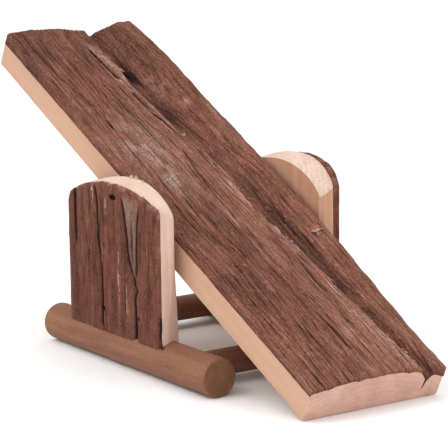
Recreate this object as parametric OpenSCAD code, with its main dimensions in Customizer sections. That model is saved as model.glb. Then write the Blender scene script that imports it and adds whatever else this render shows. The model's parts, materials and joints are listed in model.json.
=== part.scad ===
// A small-animal seesaw of split log wood: a bark-topped board rocks on two nails
// between two bark-faced plates, which stand on round foot rails joined by crossbars.
// X runs along the board with its lowered front end at +X, Y runs along the pivot, Z is up.
// The origin is on the floor, under the middle of the seesaw's outline.

/* [Board] */
// Length of the board
board_length = 220; // [190:1:250]
// Width of the board
board_width = 56; // [46:1:57]
// Height of the board's wood at its crown
board_crown = 13; // [12:0.5:14.5]
// Radius of the log face that the board was split from
board_log_radius = 90; // [80:1:120]
// Sideways place of the wood's crown
board_crown_y = -6; // [-8:0.5:2]
// Height of the board over its bark
board_height = 16; // [15.5:0.5:18]
// Radius of the bark's outer face on the board
board_bark_radius = 200; // [160:5:240]
// Sideways place of the bark's crown
bark_crown_y = 6; // [0:0.5:8]
// Sideways place of the fissure that runs along the bark, at the board's middle
fissure_y = 14; // [8:0.5:16]
// Angle at which the fissure drifts sideways towards the front
fissure_slant = 2.6; // [0:0.1:3]
// Depth of the fissure
fissure_depth = 2; // [0.5:0.1:2.5]
// Radius of the fissure's rounded bottom
fissure_radius = 3; // [2.8:0.1:5]

/* [Pivot] */
// Height of the pivot axis over the floor
pivot_z = 60.9; // [50:0.1:61.5]
// Distance of the pivot axis behind the board's middle
pivot_back = 4.6; // [0:0.2:8]
// Height of the pivot axis over the board's underside
pivot_in_board = 10.5; // [6:0.5:11]
// Diameter of the pivot nails
pivot_nail_d = 1.9; // [1.6:0.1:2.4]
// Length of the pivot nails, head included
pivot_nail_length = 30; // [24:1:34]
// Diameter of the pivot nails' heads
pivot_head_d = 3.2; // [2.8:0.1:4]
// Radial play of the pivot nails in the plates
pivot_play = 0.05; // [0.02:0.01:0.1]

/* [Plates] */
// Width of the plates
plate_width = 61; // [56:1:66]
// Distance of the plates' middle behind the pivot axis
plate_back = 0.9; // [0:0.1:3]
// Thickness of the plates, bark included
plate_thickness = 7.6; // [7.4:0.1:9]
// Corner radius of the shoulders
shoulder_radius = 4; // [2:0.5:6]
// Thickness of the right plate's bark
right_bark = 1.2; // [0.8:0.1:2.4]
// Height of the right plate's crown over the floor
right_crown_z = 66.5; // [66:0.1:72]
// Place of the right plate's crown in front of the pivot axis
right_crown_x = 0; // [-4:0.5:4]
// Radius of the right plate's arch in front of its crown
right_front_arch = 68; // [50:1:90]
// Radius of the right plate's arch behind its crown
right_rear_arch = 62; // [50:1:90]
// Thickness of the left plate's bark
left_bark = 2.2; // [0.8:0.1:2.4]
// Height of the left plate's crown over the floor
left_crown_z = 70; // [68:0.1:73]
// Place of the left plate's crown in front of the pivot axis
left_crown_x = 8.5; // [4:0.5:12]
// Radius of the left plate's arch in front of its crown
left_front_arch = 29; // [29:1:60]
// Radius of the left plate's arch behind its crown
left_rear_arch = 65; // [50:1:90]
// Gap between the board and each plate
side_gap = 3; // [2:0.1:4]

/* [Base] */
// Diameter of the foot rails
rail_d = 13.8; // [13:0.2:16]
// Length of the foot rails
rail_length = 107; // [96:1:120]
// Distance of the rails' middle in front of the pivot axis
rail_forward = 4.8; // [0:0.2:8]
// Distance of the rails' axes inside the plates' middle planes
rail_inward = 1.6; // [0:0.1:2]
// Size of the eased edge on the rails' ends
rail_ease = 0.8; // [0.4:0.1:1.2]
// Diameter of the crossbars
crossbar_d = 9.5; // [8:0.1:10]
// Distance of the front crossbar from the rails' front ends
front_inset = 18; // [10:0.5:20]
// Distance of the rear crossbar from the rails' rear ends
rear_inset = 11; // [10:0.5:14]

/* [Plate nails] */
// Diameter of the nails that hold the plates on the rails
plate_nail_d = 1.3; // [1:0.1:1.6]
// Length of the plate nails
plate_nail_length = 14; // [12:0.5:15]
// Height at which the plate nails enter the bark
plate_nail_z = 20; // [19.5:0.1:20.5]
// Lean of the plate nails from upright
plate_nail_lean = 38; // [34:1:40]
// Place of the rear nail in front of the pivot axis
rear_nail_x = -8; // [-20:1:-4]
// Place of the front nail in front of the pivot axis
front_nail_x = 16; // [4:1:20]

/* [Hidden] */
$fn = 96;

// Cutting solids reach this far past the faces that they cut.
overcut = 1;

// Facets round the large arcs of the log faces and the plates' tops.
large_arc_fn = 240;

// The board rocks about the pivot until its front end lies on the floor.
front_arm = board_length / 2 + pivot_back;
rear_arm = board_length / 2 - pivot_back;
tilt = asin(pivot_z / norm([front_arm, pivot_in_board])) - atan(pivot_in_board / front_arm);

// The pivot's place along X puts the tilted board's outline evenly about the origin.
pivot_x = -((front_arm - rear_arm) * cos(tilt)
    + (board_height - 2 * pivot_in_board) * sin(tilt)) / 2;

plate_inner = board_width / 2 + side_gap;
plate_outer = plate_inner + plate_thickness;
plate_middle = plate_inner + plate_thickness / 2;
plate_front = plate_width / 2 - plate_back;
plate_rear = plate_width / 2 + plate_back;

// The fissure's cutter runs out of both ends of the board, slant included.
fissure_length = board_length + 4 * fissure_radius;

rail_r = rail_d / 2;
rail_x = pivot_x + rail_forward;
rail_y = plate_middle - rail_inward;
plate_foot = rail_r;

// The crossbars' ends sit in blind holes that stop just short of the rails' axes.
crossbar_short_of_axis = 1.5;
crossbar_end = rail_y - crossbar_short_of_axis;
front_crossbar_x = rail_x + rail_length / 2 - front_inset;
rear_crossbar_x = rail_x - rail_length / 2 + rear_inset;

// The pivot nails' heads sit in recesses in the plates' outer faces.
pivot_head_height = 0.8;
pivot_head_gap = 0.25;
pivot_head_play = 0.2;
pivot_recess_r = pivot_head_d / 2 + pivot_head_play;
pivot_recess_depth = 2.2;
pivot_head_face = plate_outer - pivot_recess_depth + pivot_head_gap + pivot_head_height;

bark_colour = "#79503f";
sawn_colour = "#dcb48c";
rail_colour = "#a06c52";
crossbar_colour = "#8a5a44";
nail_colour = "#8d8a86";

// Lays out a piece of the board: board coordinates to the tilted place on the pivot.
module tilted() {
    translate([pivot_x, 0, pivot_z])
        rotate([0, tilt, 0])
            translate([pivot_back, 0, -pivot_in_board])
                children();
}

// The round face of a log that lies along the board, with its crown at the given place.
module log_along_board(radius, crown_y, crown_z) {
    translate([0, crown_y, crown_z - radius])
        rotate([0, 90, 0])
            cylinder(r = radius, h = board_length + 2 * overcut, center = true, $fn = large_arc_fn);
}

// The upright-sided block that the board and its bark fill, up to the given height.
module board_block(height) {
    translate([-board_length / 2, -board_width / 2, 0])
        cube([board_length, board_width, height]);
}

// Both pivot nails' holes in the board, as wide as the nails.
module pivot_holes_in_board() {
    for (side = [-1, 1])
        translate([-pivot_back, side * (pivot_head_face - pivot_nail_length / 2), pivot_in_board])
            rotate([90, 0, 0])
                cylinder(d = pivot_nail_d, h = pivot_nail_length, center = true);
}

module board() {
    color(sawn_colour)
        tilted()
            difference() {
                intersection() {
                    board_block(board_crown);
                    log_along_board(board_log_radius, board_crown_y, board_crown);
                }
                pivot_holes_in_board();
            }
}

module board_bark() {
    color(bark_colour)
        tilted()
            difference() {
                intersection() {
                    board_block(board_height);
                    log_along_board(board_bark_radius, bark_crown_y, board_height);
                }
                log_along_board(board_log_radius, board_crown_y, board_crown);
                translate([0, fissure_y, board_height - fissure_depth + fissure_radius])
                    rotate([0, 90, fissure_slant])
                        cylinder(r = fissure_radius, h = fissure_length, center = true);
                pivot_holes_in_board();
            }
}

// The part of a plate's outline on one side of its crown: an arch, a round shoulder and
// an upright side at the given distance from the crown.
module plate_half(distance, arch_r, crown_z) {
    arch_centre_z = crown_z - arch_r;
    corner_x = distance - shoulder_radius;
    corner_z = arch_centre_z
        + sqrt(pow(arch_r - shoulder_radius, 2) - pow(corner_x, 2));
    // Direction from the arch's centre through the shoulder's centre.
    lean = atan2(corner_x, corner_z - arch_centre_z);
    // The corner's cutter runs well past the round shoulder.
    reach = 3 * shoulder_radius;
    difference() {
        intersection() {
            translate([0, plate_foot])
                square([distance, crown_z - plate_foot]);
            translate([0, arch_centre_z])
                circle(r = arch_r, $fn = large_arc_fn);
        }
        difference() {
            polygon([
                [corner_x, corner_z],
                [distance + overcut, corner_z],
                [distance + overcut, crown_z + overcut],
                [corner_x + reach * sin(lean), corner_z + reach * cos(lean)]
            ]);
            translate([corner_x, corner_z])
                circle(r = shoulder_radius);
        }
    }
}

// A plate's outline seen from the right, with X from the pivot axis.
module plate_outline(crown_x, crown_z, front_arch, rear_arch) {
    translate([crown_x, 0])
        plate_half(plate_front - crown_x, front_arch, crown_z);
    translate([crown_x, 0])
        mirror([1, 0])
            plate_half(plate_rear + crown_x, rear_arch, crown_z);
}

module right_outline() {
    plate_outline(right_crown_x, right_crown_z, right_front_arch, right_rear_arch);
}

module left_outline() {
    plate_outline(left_crown_x, left_crown_z, left_front_arch, left_rear_arch);
}

// A slab of the child outline, from one distance to another on the +Y side.
module plate_slab(from_y, to_y) {
    translate([pivot_x, to_y, 0])
        rotate([90, 0, 0])
            linear_extrude(to_y - from_y)
                children();
}

// The left foot rail's round bar, without its holes.
module rail_bar() {
    translate([rail_x - rail_length / 2, rail_y, rail_r])
        rotate([0, 90, 0])
            union() {
                cylinder(r1 = rail_r - rail_ease, r2 = rail_r, h = rail_ease);
                translate([0, 0, rail_ease])
                    cylinder(r = rail_r, h = rail_length - 2 * rail_ease);
                translate([0, 0, rail_length - rail_ease])
                    cylinder(r1 = rail_r, r2 = rail_r - rail_ease, h = rail_ease);
            }
}

// The left plate's two leaning nails, which also serve as their own holes.
module plate_nail_pair() {
    for (nail_x = [rear_nail_x, front_nail_x])
        translate([pivot_x + nail_x, plate_outer, plate_nail_z])
            rotate([180 - plate_nail_lean, 0, 0])
                cylinder(d = plate_nail_d, h = plate_nail_length);
}

// The outermost part of a plate nail's hole, which is left open over its sunk head.
module plate_nail_mouths() {
    for (nail_x = [rear_nail_x, front_nail_x])
        translate([pivot_x + nail_x, plate_outer, plate_nail_z])
            rotate([-plate_nail_lean, 0, 0])
                cylinder(d = plate_nail_d, h = 2 * plate_nail_d);
}

// Round hole along Y through the left plate, at the pivot.
module pivot_hole(radius) {
    translate([pivot_x, plate_middle, pivot_z])
        rotate([90, 0, 0])
            cylinder(r = radius, h = plate_thickness + 2 * overcut, center = true);
}

// The wider recess for the left pivot nail's head, where it reaches down into the wood.
module pivot_recess() {
    translate([pivot_x, plate_outer + overcut, pivot_z])
        rotate([90, 0, 0])
            cylinder(r = pivot_recess_r, h = pivot_recess_depth + overcut);
}

// The pieces below with "side" in their name are made on the left, at +Y.
// A plate's wood under bark of the given thickness, with the child outline.
module side_plate(bark) {
    color(sawn_colour)
        difference() {
            plate_slab(plate_inner, plate_outer - bark)
                children();
            rail_bar();
            pivot_hole(pivot_nail_d / 2 + pivot_play);
            if (bark < pivot_recess_depth)
                pivot_recess();
            plate_nail_pair();
            plate_nail_mouths();
        }
}

// A plate's bark of the given thickness, with the child outline.
module side_plate_bark(bark) {
    color(bark_colour)
        difference() {
            plate_slab(plate_outer - bark, plate_outer)
                children();
            rail_bar();
            pivot_hole(pivot_recess_r);
            plate_nail_pair();
            plate_nail_mouths();
        }
}

// A crossbar along Y, from one blind hole's bottom to the other's.
module crossbar(bar_x) {
    color(crossbar_colour)
        translate([bar_x, 0, rail_r])
            rotate([90, 0, 0])
                cylinder(d = crossbar_d, h = 2 * crossbar_end, center = true);
}

module side_rail() {
    color(rail_colour)
        difference() {
            rail_bar();
            crossbar(front_crossbar_x);
            crossbar(rear_crossbar_x);
            plate_nail_pair();
        }
}

// A nail with a flat head, driven in from outside the left plate.
module side_pivot_nail() {
    color(nail_colour)
        translate([pivot_x, pivot_head_face, pivot_z])
            rotate([90, 0, 0])
                union() {
                    cylinder(d = pivot_head_d, h = pivot_head_height);
                    cylinder(d = pivot_nail_d, h = pivot_nail_length);
                }
}

// Nails driven down through the plate into the rail.
module side_plate_nails() {
    color(nail_colour)
        plate_nail_pair();
}

// The right side's pieces are the left side's, mirrored to -Y.
module right_side() {
    mirror([0, 1, 0])
        children();
}

board();
board_bark();
right_side() side_plate(right_bark) right_outline();  // right_plate
side_plate(left_bark) left_outline();  // left_plate
right_side() side_plate_bark(right_bark) right_outline();  // right_plate_bark
side_plate_bark(left_bark) left_outline();  // left_plate_bark
right_side() side_rail();  // right_rail
side_rail();  // left_rail
crossbar(front_crossbar_x);  // front_crossbar
crossbar(rear_crossbar_x);  // rear_crossbar
right_side() side_pivot_nail();  // right_pivot_nail
side_pivot_nail();  // left_pivot_nail
right_side() side_plate_nails();  // right_plate_nails
side_plate_nails();  // left_plate_nails
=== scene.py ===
import json
import math

import bpy
import numpy as np
from mathutils import Matrix, Vector


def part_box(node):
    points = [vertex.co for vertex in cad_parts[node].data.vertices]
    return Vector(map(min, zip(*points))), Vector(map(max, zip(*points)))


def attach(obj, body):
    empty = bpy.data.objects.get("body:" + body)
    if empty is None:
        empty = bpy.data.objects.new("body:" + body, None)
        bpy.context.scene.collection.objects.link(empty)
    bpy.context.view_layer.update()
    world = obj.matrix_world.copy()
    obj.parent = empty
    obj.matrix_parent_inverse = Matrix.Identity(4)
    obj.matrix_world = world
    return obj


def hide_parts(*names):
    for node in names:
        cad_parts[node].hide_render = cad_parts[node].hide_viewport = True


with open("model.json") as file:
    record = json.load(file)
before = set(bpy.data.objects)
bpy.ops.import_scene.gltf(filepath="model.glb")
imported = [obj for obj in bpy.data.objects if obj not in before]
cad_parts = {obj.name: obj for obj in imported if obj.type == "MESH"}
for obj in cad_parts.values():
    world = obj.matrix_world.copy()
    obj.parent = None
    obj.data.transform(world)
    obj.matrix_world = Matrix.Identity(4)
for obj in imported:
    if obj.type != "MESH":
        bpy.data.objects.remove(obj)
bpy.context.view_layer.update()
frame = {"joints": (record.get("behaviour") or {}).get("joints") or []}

# Lengths are in millimetres in this script, and MM turns them into the frame's metres.
MM = 0.001
UP = Vector((0, 0, 1))

# The board's sizes and its place on the pivot, as the CAD has them. Board coordinates are
# u along the board to its front, v across it to the left, and w up from its underside.
BOARD_HALF_LENGTH = 110.0
BOARD_HALF_WIDTH = 28.0
PIVOT_BACK = 4.6
PIVOT_IN_BOARD = 10.5

pivot = Vector(frame["joints"][0]["pos_m"]) / MM


def board_place():
    """The turn and shift from board coordinates to the frame, with the front end on the floor."""
    arm = BOARD_HALF_LENGTH + PIVOT_BACK
    tilt = math.asin(pivot.z / math.hypot(arm, PIVOT_IN_BOARD)) - math.atan(PIVOT_IN_BOARD / arm)
    shift = Matrix.Translation(Vector((PIVOT_BACK, 0, -PIVOT_IN_BOARD)) * MM)
    return Matrix.Translation(pivot * MM) @ Matrix.Rotation(tilt, 4, "Y") @ shift


def box_mm(node):
    """A CAD node's lowest and highest corners in millimetres."""
    low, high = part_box(node)
    return low / MM, high / MM


# ---- Random values and curves

class Noise:
    """Smooth random values from -1 to 1 over a plane, the same on every run."""

    SIZE = 256

    def __init__(self, seed):
        self.lattice = np.random.default_rng(seed).uniform(-1, 1, (self.SIZE, self.SIZE))

    def __call__(self, x, y):
        x, y = np.broadcast_arrays(np.asarray(x, float), np.asarray(y, float))
        column, row = np.floor(x), np.floor(y)
        across, down = smooth(x - column), smooth(y - row)
        c0, r0 = column.astype(int) % self.SIZE, row.astype(int) % self.SIZE
        c1, r1 = (c0 + 1) % self.SIZE, (r0 + 1) % self.SIZE
        upper = self.lattice[r0, c0] * (1 - across) + self.lattice[r0, c1] * across
        lower = self.lattice[r1, c0] * (1 - across) + self.lattice[r1, c1] * across
        return upper * (1 - down) + lower * down

    def layered(self, x, y, layers=3):
        """Layers of ever finer noise, each half as strong as the one before."""
        total = 0
        for k in range(layers):
            total = total + self(x * 2**k + 17 * k, y * 2**k + 31 * k) / 2**k
        return total / (2 - 0.5 ** (layers - 1))


def smooth(t):
    """Eases t from 0 to 1, flat at both ends."""
    t = np.clip(t, 0, 1)
    return t * t * (3 - 2 * t)


def step(low, high, value):
    """Rises smoothly from 0 at low to 1 at high."""
    return smooth((value - low) / (high - low))


def mix(a, b, share):
    return a + (b - a) * share


def bell(value, width):
    """A smooth bump of height 1 about zero."""
    return np.exp(-((value / width) ** 2))


def along_line(points, value):
    """The line's height at value, for a line through (place, height) points."""
    places, heights = zip(*points)
    return np.interp(value, places, heights)


# ---- Meshes

def make_object(name, solid, place=None, shade_angle=None, marks=None, second=()):
    """A mesh object from a solid's points in millimetres and its faces.

    marks are named values at the points, and the faces in second get the second material.
    """
    points, faces = solid
    mesh = bpy.data.meshes.new(name)
    mesh.from_pydata((np.asarray(points, float) * MM).tolist(), [], faces)
    for mark, values in (marks or {}).items():
        layer = mesh.attributes.new(mark, "FLOAT", "POINT")
        layer.data.foreach_set("value", np.asarray(values, np.float32))
    mesh.polygons.foreach_set("use_smooth", [shade_angle is not None] * len(faces))
    if shade_angle is not None:
        mesh.set_sharp_from_angle(angle=math.radians(shade_angle))
    for face in second:
        mesh.polygons[face].material_index = 1
    obj = bpy.data.objects.new(name, mesh)
    bpy.context.scene.collection.objects.link(obj)
    obj.matrix_world = place or Matrix.Identity(4)
    return obj


def make_piece(name, solid, body, nodes, slot, materials, **settings):
    """A piece of the seesaw, with the body it rides on and the CAD nodes it stands for."""
    obj = make_object(name, solid, **settings)
    for material in materials:
        obj.data.materials.append(material)
    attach(obj, body)
    if nodes:
        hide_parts(*nodes)


def grid_quads(rows, columns, first=0):
    """Faces of a grid of points that lie row by row. They look to rows x columns."""
    r, c = np.meshgrid(np.arange(rows - 1), np.arange(columns - 1), indexing="ij")
    a = (first + r * columns + c).ravel()
    return np.stack([a, a + columns, a + columns + 1, a + 1], 1).tolist()


def grid_rim(rows, columns, first=0):
    """Indices round a grid's rim, counterclockwise as seen from where its faces look."""
    index = first + np.arange(rows * columns).reshape(rows, columns)
    sides = [index[:-1, 0], index[-1, :-1], index[:0:-1, -1], index[0, :0:-1]]
    return np.concatenate(sides).tolist()


def flipped(faces):
    return [face[::-1] for face in faces]


# A bark skin's fine grid wraps over its edges in WRAP rows, and its hidden underside has one
# point for every STRIDE of the fine ones.
WRAP = 5
STRIDE = 8


def closed_sheet(top, under):
    """A solid between a fine grid of points and a coarse pick of the points below it."""
    rows, columns = top.shape[:2]
    coarse = under[::STRIDE, ::STRIDE]
    first = rows * columns
    faces = grid_quads(rows, columns)
    faces += flipped(grid_quads(*coarse.shape[:2], first))
    fine_rim = grid_rim(rows, columns)
    coarse_rim = grid_rim(*coarse.shape[:2], first)
    middle = STRIDE // 2
    for j, low in enumerate(coarse_rim):
        low_next = coarse_rim[(j + 1) % len(coarse_rim)]
        high = [fine_rim[(j * STRIDE + k) % len(fine_rim)] for k in range(STRIDE + 1)]
        for k in range(STRIDE):
            faces.append([low if k < middle else low_next, high[k + 1], high[k]])
        faces.append([low, low_next, high[middle]])
    return np.concatenate([top.reshape(-1, 3), coarse.reshape(-1, 3)]), faces


def sheet_marks(**marks):
    """Spreads values on a fine grid over all the points of its closed sheet."""
    for name, fine in marks.items():
        marks[name] = np.concatenate([fine.ravel(), fine[::STRIDE, ::STRIDE].ravel()])
    return marks


def wrapped(half, cells, rim_step=0.03):
    """Places from -half to half, and how far each has dropped over the edge, 1 at the rim."""
    rim = np.arange(WRAP) * rim_step
    inner = half - WRAP * rim_step
    inside = np.linspace(-inner, inner, STRIDE * cells + 1 - 2 * WRAP)
    drop = 1 - np.arange(WRAP) / WRAP
    places = np.concatenate([-half + rim, inside, half - rim[::-1]])
    return places, np.concatenate([drop, np.zeros(len(inside)), drop[::-1]])


def sweep_rings(rings):
    """A closed solid through rings of points, with a flat cap at each end."""
    count, size = len(rings), len(rings[0])
    faces = []
    for r in range(count - 1):
        for k in range(size):
            n = (k + 1) % size
            faces.append([r * size + k, r * size + n, (r + 1) * size + n, (r + 1) * size + k])
    faces.append(list(range(size))[::-1])
    faces.append([(count - 1) * size + k for k in range(size)])
    return np.concatenate(rings), faces


def outer_faces(count, size, bands):
    """Faces of a swept solid's caps and outermost bands, for count rings of size points."""
    rows = [*range(bands), *range(count - 1 - bands, count - 1)]
    sides = [r * size + k for r in rows for k in range(size)]
    return sides + [(count - 1) * size, (count - 1) * size + 1]


def joined(solids):
    """Many solids as one."""
    points, faces, first = [], [], 0
    for p, f in solids:
        points.append(p)
        faces += [[first + i for i in face] for face in f]
        first += len(p)
    return np.concatenate(points), faces


# ---- Bark

# Distance between the bark's thread-like furrows.
THREAD_SPACING = 1.5


def stringy_bark(along, across, seed, furrows=1.0):
    """Relief of fibrous bark about its mean surface, and the painted shade that each place gets for how deep
    it lies in a crevice.
    """
    noise = Noise(seed)
    lane = across + 1.5 * noise(along / 45, across / 14) + 0.45 * noise(along / 13, across / 5 + 40)
    swell = noise.layered(along / 30, lane / 6, 2)
    groove = bell(noise(along / 22 + 9, lane / 1.7), 0.16)
    groove = groove * step(-0.2, 0.5, noise(along / 15, lane / 6 + 90))
    hairline = bell(noise(along / 14 + 70, lane / 0.8 + 5), 0.2)
    hairline = hairline * step(-0.4, 0.4, noise(along / 8, lane / 2 + 60))
    row = lane / THREAD_SPACING + 1.3 * noise(along / 30, lane / 5 + 110)
    nearest = np.round(row)
    thread = furrows * bell((row - nearest) * THREAD_SPACING, 0.17)
    thread = thread * step(-0.3, 0.3, noise(along / 9 + 3 * nearest, nearest * 7.3))
    fibre = noise(along / 7, lane / 0.5 + 33)
    flake = noise.layered(along / 2.6 + 5, lane / 1.3 + 50, 3)
    relief = 0.2 * swell - 0.1 * groove - 0.12 * hairline - 0.2 * thread + 0.1 * fibre + 0.14 * flake
    crevice = 0.12 * groove + 0.25 * hairline + 0.95 * thread + 0.12 * fibre - 0.2 * flake
    return relief, crevice


def crack(along, across, points, width, depth, seed):
    """A groove through (along, across) points that narrows to both its ends."""
    noise = Noise(seed)
    centre = along_line(points, along) + 0.3 * noise(along / 4, seed) + 0.12 * noise(along, seed + 3)
    from_end = np.minimum(along - points[0][0], points[-1][0] - along)
    taper = smooth(from_end / 5)
    return depth * taper * bell(across - centre, width * (0.6 + 0.4 * taper))


def deepest(along, across, cracks, seed):
    """The depth of many cracks, given as (points, width, depth) rows."""
    total = np.zeros(along.shape)
    for k, (points, width, depth) in enumerate(cracks):
        total = np.maximum(total, crack(along, across, points, width, depth, seed + k))
    return total


def random_cracks(along, across, area, count, width, depth, seed, longest=34):
    """Many cracks along the grain in an area (lowest along, across, highest along, across)."""
    rng = np.random.default_rng(seed)
    total = np.zeros(along.shape)
    for k in range(count):
        length = rng.uniform(6, longest)
        a = rng.uniform(area[0], area[2] - length / 2)
        c = rng.uniform(area[1], area[3])
        points = ((a, c), (a + length, c + rng.uniform(-0.7, 0.7)))
        near = (along > a) & (along < a + length) & (np.abs(across - c) < 3)
        size = rng.uniform(0.5, 1)
        groove = crack(along[near], across[near], points, width * size, depth * size, seed + k)
        total[near] = np.maximum(total[near], groove)
    return total


# The bark has a broad field on the right, a long fissure and a hump on the left. The field is
# crowned: the crown's place across, its height and how fast it falls, at the rear and the front.
FIELD_REAR = (-15, 14.75, 0.006)
FIELD_FRONT = (-2, 14.2, 0.0034)
# The fissure's bottom, as (u, v) and (u, w) points, and the edge of the field beside it.
FISSURE_PLACE = (
    (-110, 10), (-80, 10.4), (-53, 11.2), (-37, 13), (-14, 14.6), (42, 16.6), (87, 18), (110, 21))
FISSURE_BOTTOM = (
    (-110, 9.8), (-80, 10), (-50, 10.6), (-14, 12.3), (4, 12.3), (60, 11.4), (90, 11.2), (110, 10.2))
LIP_PLACE = (
    (-110, 7), (-100, 5.6), (-90, 4.6), (-82, 4.3), (-64, 3.6), (-53, 4.2), (-34, 6.7), (-20, 9),
    (2, 8.8), (14, 8.6), (36, 11), (58, 13.2), (80, 13.9), (102, 15.4), (110, 16.6))
# How far the field drops at that edge, before the slope to the fissure's bottom.
LIP_DROP = ((-110, 0.2), (-60, 0.3), (-40, 0.9), (-15, 1.3), (30, 1.2), (70, 0.9), (110, 0.8))
# Height of the hump between the fissure and the left edge, as (u, w) points.
HUMP_TOP = (
    (-110, 15.4), (-92, 16.4), (-75, 17), (-55, 16.4), (0, 16.2), (40, 16), (69, 14.3), (94, 12.8),
    (110, 12.4))
# Grooves that wander along the grain: (u, v) points, width and depth.
BOARD_GROOVES = (
    (((-46, -4.5), (-41, -2.8), (-21, 1.1), (-8.5, -0.9), (6, -2.3), (27, -2.8), (46, -2.5), (58, -1)),
     0.32, 0.7),
    (((-98, -23.3), (-77, -22.2), (-54, -19), (-38, -18.5)), 0.3, 0.6),
    (((-82, -20.4), (-62, -19.2), (-45, -17)), 0.2, 0.5),
    (((-98, -8.6), (-85, -7), (-58, -7), (-44, -5.5)), 0.28, 0.6),
    (((-75, -13.4), (-64, -11.4), (-49, -6.8), (-40, -2)), 0.4, 0.45),
    (((-106, -14), (-84, -13), (-66, -14)), 0.25, 0.45),
    (((8, -12.8), (24, -12.3), (36, -12)), 0.3, 0.5),
    (((55, -5), (75, -6), (96, -6), (109, -7)), 0.2, 0.5),
    (((62, -12), (84, -11), (109, -10)), 0.18, 0.4),
    (((66, -15), (86, -14.6), (106, -14)), 0.2, 0.4),
    (((58, -18), (78, -19), (104, -18.4)), 0.18, 0.4),
)
# A dark split under the torn strip that lies along the fissure.
LIP_SPLIT = ((-97, 0.2), (-84, 1.0), (-74, 1.8), (-57, 2.3), (-44, 3.6), (-32, 5.4))
# A second split in that strip.
STRIP_SPLIT = ((-100, 3.4), (-90, 3.1), (-80, 3.4), (-70, 3.2), (-60, 3.9))
# Short cracks at random: area, number, width, depth, seed and greatest length.
BOARD_CRACKS = (
    ((-108, -24.5, 109, 25), 40, 0.24, 0.6, 300, 34),
    ((-108, -25, 109, 25), 170, 0.16, 0.4, 500, 34),
    ((0, -25, 110, 8), 100, 0.15, 0.35, 900, 34),
    ((15, -24, 109, 10), 46, 0.2, 0.55, 1300, 80),
)
# A hollow in the fissure, darkened with painted shade, as u and the distance across from the fissure's
# bottom.
PIT = (-79.5, 0.9)
# Spots of hollows along the fissure, placed as PIT is.
HOLLOWS = (
    (2.4, PIT, (5.5, 1.2)), (1.0, (-50, 0), (12, 2)), (0.8, (62, 0), (6, 1)), (0.8, (104, 0), (9, 1.2)))
# Spots of knots in the hump.
KNOTS = ((1, (-66.5, 15.8), (7, 4)), (1, (-52, 20), (2.6, 1.6)))
# Spots that are worn grey, and spots that are paler or darker than the rest.
WORN_SPOTS = (
    (1, (-27, -16.9), (11, 5.5)), (1, (-8, -12.9), (12, 5)),
    (0.5, (-27, -6.6), (18, 5)), (0.4, (-42, -13), (9, 5)))
TONE_SPOTS = (
    (0.3, (25, 5), (26, 6)), (0.4, (84, 8), (24, 8)), (0.7, (17, -3.6), (9, 0.7)),
    (-0.25, (-50, -9), (12, 4)), (-0.3, (40, -15), (36, 12)))


def fissure_place(u):
    return along_line(FISSURE_PLACE, u) + 0.4 * Noise(5)(u / 9, 0) + 0.2 * Noise(6)(u / 3, 0)


def lip_place(u):
    place = along_line(LIP_PLACE, u) + 0.5 * Noise(7)(u / 6, 0)
    return place + 0.45 * Noise(8)(u / 2, 0) + 0.2 * Noise(9)(u / 0.9, 0)


def crown(v, place, height, fall):
    return height - fall * (v - place) ** 2


def spot(u, v, centre, size):
    """A soft oval spot of height 1."""
    return np.exp(-(((u - centre[0]) / size[0]) ** 2) - ((v - centre[1]) / size[1]) ** 2)


def spots(u, v, rows):
    """The sum of the spots in (strength, centre, size) rows."""
    return sum(strength * spot(u, v, centre, size) for strength, centre, size in rows)


def board_shape(u, v):
    """The bark's mean height over the board's underside, with the fissure and the hump."""
    fissure = fissure_place(u)
    lip = lip_place(u)
    to_front = step(-110, 20, u)
    field = mix(crown(v, *FIELD_REAR), crown(v, *FIELD_FRONT), to_front)
    field = field + 0.45 * bell(v - lip + 1.2, 1.6)
    bottom = along_line(FISSURE_BOTTOM, u)
    drop = along_line(LIP_DROP, u)
    down = (v - lip) / (fissure - lip)
    field = field - drop * step(-0.05, 0.16, down) - (field - drop - bottom) * smooth(down)
    share = (v - fissure) / (BOARD_HALF_WIDTH - fissure)
    rise = mix(np.clip(share / 0.62, 0, 1), step(0.14, 0.85, share), step(-95, -60, u))
    hump = bottom + 0.6 * step(0, 0.14, share) + (along_line(HUMP_TOP, u) - bottom - 0.6) * rise
    height = np.where(v > fissure, hump, field)
    height = height - mix(0.5, 1.1, step(20, 70, u)) * step(26.2, 28.6, v) - 0.5 * step(-27, -28.2, v)
    return height - spots(u, v - fissure, HOLLOWS)


def wood_height(u, v):
    """The height of the board's wood under its bark."""
    to_front = (u + BOARD_HALF_LENGTH) / (2 * BOARD_HALF_LENGTH)
    rear = 12.4 - (v + 6) ** 2 / 180
    front = 13.2 - np.where(v < 0, 0.0029, 0.0064) * v**2
    thickness = 0.9 + 0.9 * step(80, 100, u) * bell(v - fissure_place(u), 2)
    return np.minimum(mix(rear, front, to_front), board_shape(u, v) - thickness)


def board_cracks(u, v):
    """Depth of the cracks and grooves in the board's bark."""
    cracks = deepest(u, v, BOARD_GROOVES, 40)
    for area in BOARD_CRACKS:
        cracks = np.maximum(cracks, random_cracks(u, v, *area))
    cracks = np.maximum(cracks, crack(u, v, LIP_SPLIT, 0.42, 1.5, 61))
    return np.maximum(cracks, crack(u, v, STRIP_SPLIT, 0.3, 0.9, 67))


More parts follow.
